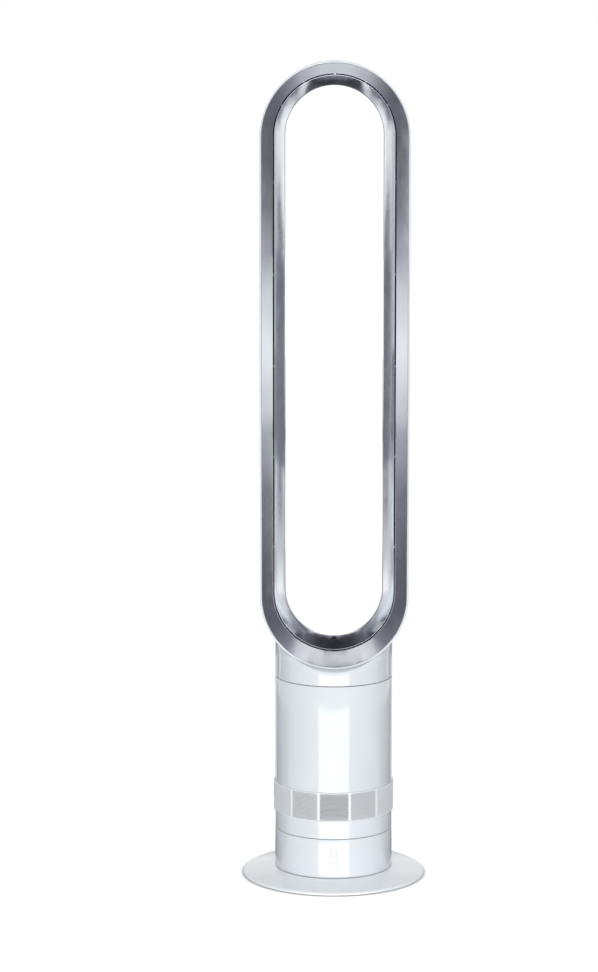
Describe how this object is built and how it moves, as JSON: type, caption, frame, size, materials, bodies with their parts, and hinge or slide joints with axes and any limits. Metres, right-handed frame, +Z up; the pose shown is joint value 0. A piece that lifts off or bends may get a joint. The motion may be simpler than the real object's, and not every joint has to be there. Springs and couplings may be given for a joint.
{
  "type": "bladeless tower fan",
  "caption": "Bladeless tower fan: a tall hollow air loop with two silver bands on a turning white column with a perforated intake band, on a round foot.",
  "frame": {"origin": "middle of the footprint, on the floor", "axes": "+Z up along the height, -Y is the front with the button, +X to the viewer's right"},
  "size_m": [0.225, 0.225, 1.007],
  "materials": {
    "white_gloss": "gloss white moulded plastic",
    "white_satin": "satin white moulded plastic",
    "silver": "satin silver metallic finish on moulded plastic",
    "dark_plastic": "black moulded plastic",
    "grey_plastic": "grey moulded plastic",
    "acetal": "natural acetal",
    "rubber": "moulded rubber",
    "foam": "open-cell foam",
    "steel": "plated steel",
    "laminations": "laminated steel",
    "copper": "enamelled copper wire",
    "magnet": "nickel-plated magnet",
    "board": "green circuit board",
    "chip": "black electronic packages"
  },
  "bodies": {
    "base": {"base_plate": "white_gloss", "base_weight": "steel", "base_cover": "grey_plastic", "foot_pads": "rubber", "base_cover_screws": "steel", "control_ring": "white_gloss", "control_ring_screws": "steel", "chassis_deck": "dark_plastic", "chassis_screws": "steel", "glide_ring": "acetal", "spindle_circlip": "steel", "stepper_motor": "steel", "main_board": "board", "main_board_parts": "chip", "display_board": "board", "led_display": "chip", "tact_switch": "chip", "ir_receiver": "chip", "cable_gland": "rubber"},
    "button": {"power_button": "white_gloss"},
    "pinion": {"oscillation_pinion": "acetal", "stepper_shaft": "steel"},
    "column": {"turntable": "dark_plastic", "oscillation_gear": "acetal", "turntable_screws": "steel", "lower_body_ring": "white_gloss", "intake_grille": "white_satin", "main_body_shell": "white_gloss", "vibration_ring": "rubber", "inlet_bellmouth": "dark_plastic", "impeller_housing": "dark_plastic", "foam_sleeve": "foam", "diffuser_vanes": "dark_plastic", "motor_bucket": "dark_plastic", "motor_dome": "dark_plastic", "motor_isolators": "rubber", "motor_can": "steel", "motor_end_bell": "steel", "motor_bearings": "steel", "stator_core": "laminations", "stator_windings": "copper", "motor_drive_board": "board", "drive_board_parts": "chip", "duct_seal": "rubber", "air_duct": "dark_plastic", "collar": "white_gloss", "loop_shell": "white_gloss", "loop_airfoil": "silver", "loop_flare": "silver", "duct_posts": "dark_plastic", "slot_spacers": "silver", "flow_splitter": "dark_plastic", "magnet_holder": "dark_plastic", "remote_magnets": "magnet", "loop_screws": "steel"},
    "impeller": {"impeller": "grey_plastic", "impeller_nut": "steel", "motor_shaft": "steel", "rotor_magnet": "magnet"}
  },
  "joints": [
    {"name": "oscillation", "type": "hinge", "parent": "base", "child": "column", "pos_m": [0, 0, 0.0605], "axis": [0, 0, 1], "range_deg": [-35, 35]},
    {"name": "impeller_spin", "type": "hinge", "parent": "column", "child": "impeller", "pos_m": [0, 0, 0.16], "axis": [0, 0, 1], "continuous": true},
    {"name": "pinion_spin", "type": "hinge", "parent": "base", "child": "pinion", "pos_m": [0, 0.039, 0.0553], "axis": [0, 0, 1], "range_deg": [-120, 120]},
    {"name": "button_press", "type": "slide", "parent": "base", "child": "button", "axis": [0, 1, 0], "range_m": [0, 0.0008], "stiffness_N_per_m": 1500, "springref_m": -0.0004}
  ],
  "couplings": [
    {"joint": "pinion_spin", "follows": "oscillation", "ratio": -3.3333}
  ]
}
